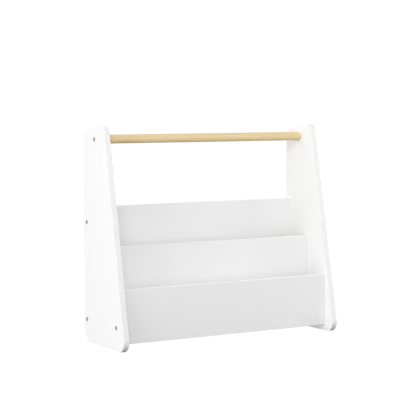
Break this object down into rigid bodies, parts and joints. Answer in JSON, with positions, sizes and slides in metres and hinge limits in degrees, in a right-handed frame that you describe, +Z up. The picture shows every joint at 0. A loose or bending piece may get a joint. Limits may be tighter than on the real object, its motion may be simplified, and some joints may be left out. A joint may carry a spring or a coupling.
{
  "type": "magazine rack",
  "caption": "Free-standing magazine rack: tapered side panels, stepped cross panels that form pockets, a bottom board and a round wooden handle rod.",
  "frame": {"origin": "on the floor, under the middle of the rack's width and depth", "axes": "+X to the rack's right as seen from the front, +Y towards its back edge, +Z up; the front, where the low panel is, faces -Y"},
  "size_m": [0.691, 0.2428, 0.6],
  "materials": {
    "white_lacquer": "smooth satin white lacquer on fibreboard",
    "pale_wood": "pale, fine-grained wood under clear matt lacquer",
    "pin_wood": "plain unfinished beech",
    "zinc_steel": "bright zinc-plated steel"
  },
  "bodies": {
    "root": {"side_panel_left": "white_lacquer", "side_panel_right": "white_lacquer", "back_panel": "white_lacquer", "middle_panel": "white_lacquer", "front_panel": "white_lacquer", "bottom_board": "white_lacquer", "handle_rod": "pale_wood", "rod_insert_left": "zinc_steel", "rod_insert_right": "zinc_steel", "bolt_handle_left": "zinc_steel", "bolt_handle_right": "zinc_steel", "bolt_back_upper_left": "zinc_steel", "bolt_back_upper_right": "zinc_steel", "bolt_back_lower_left": "zinc_steel", "bolt_back_lower_right": "zinc_steel", "bolt_front_left": "zinc_steel", "bolt_front_right": "zinc_steel", "barrel_nut_back_upper_left": "zinc_steel", "barrel_nut_back_upper_right": "zinc_steel", "barrel_nut_back_lower_left": "zinc_steel", "barrel_nut_back_lower_right": "zinc_steel", "barrel_nut_front_left": "zinc_steel", "barrel_nut_front_right": "zinc_steel", "pin_back_left": "pin_wood", "pin_back_right": "pin_wood", "pin_middle_lower_left": "pin_wood", "pin_middle_lower_right": "pin_wood", "pin_middle_upper_left": "pin_wood", "pin_middle_upper_right": "pin_wood", "pin_front_left": "pin_wood", "pin_front_right": "pin_wood", "pin_bottom_rear_left": "pin_wood", "pin_bottom_rear_right": "pin_wood", "pin_bottom_front_left": "pin_wood", "pin_bottom_front_right": "pin_wood"}
  },
  "joints": []
}
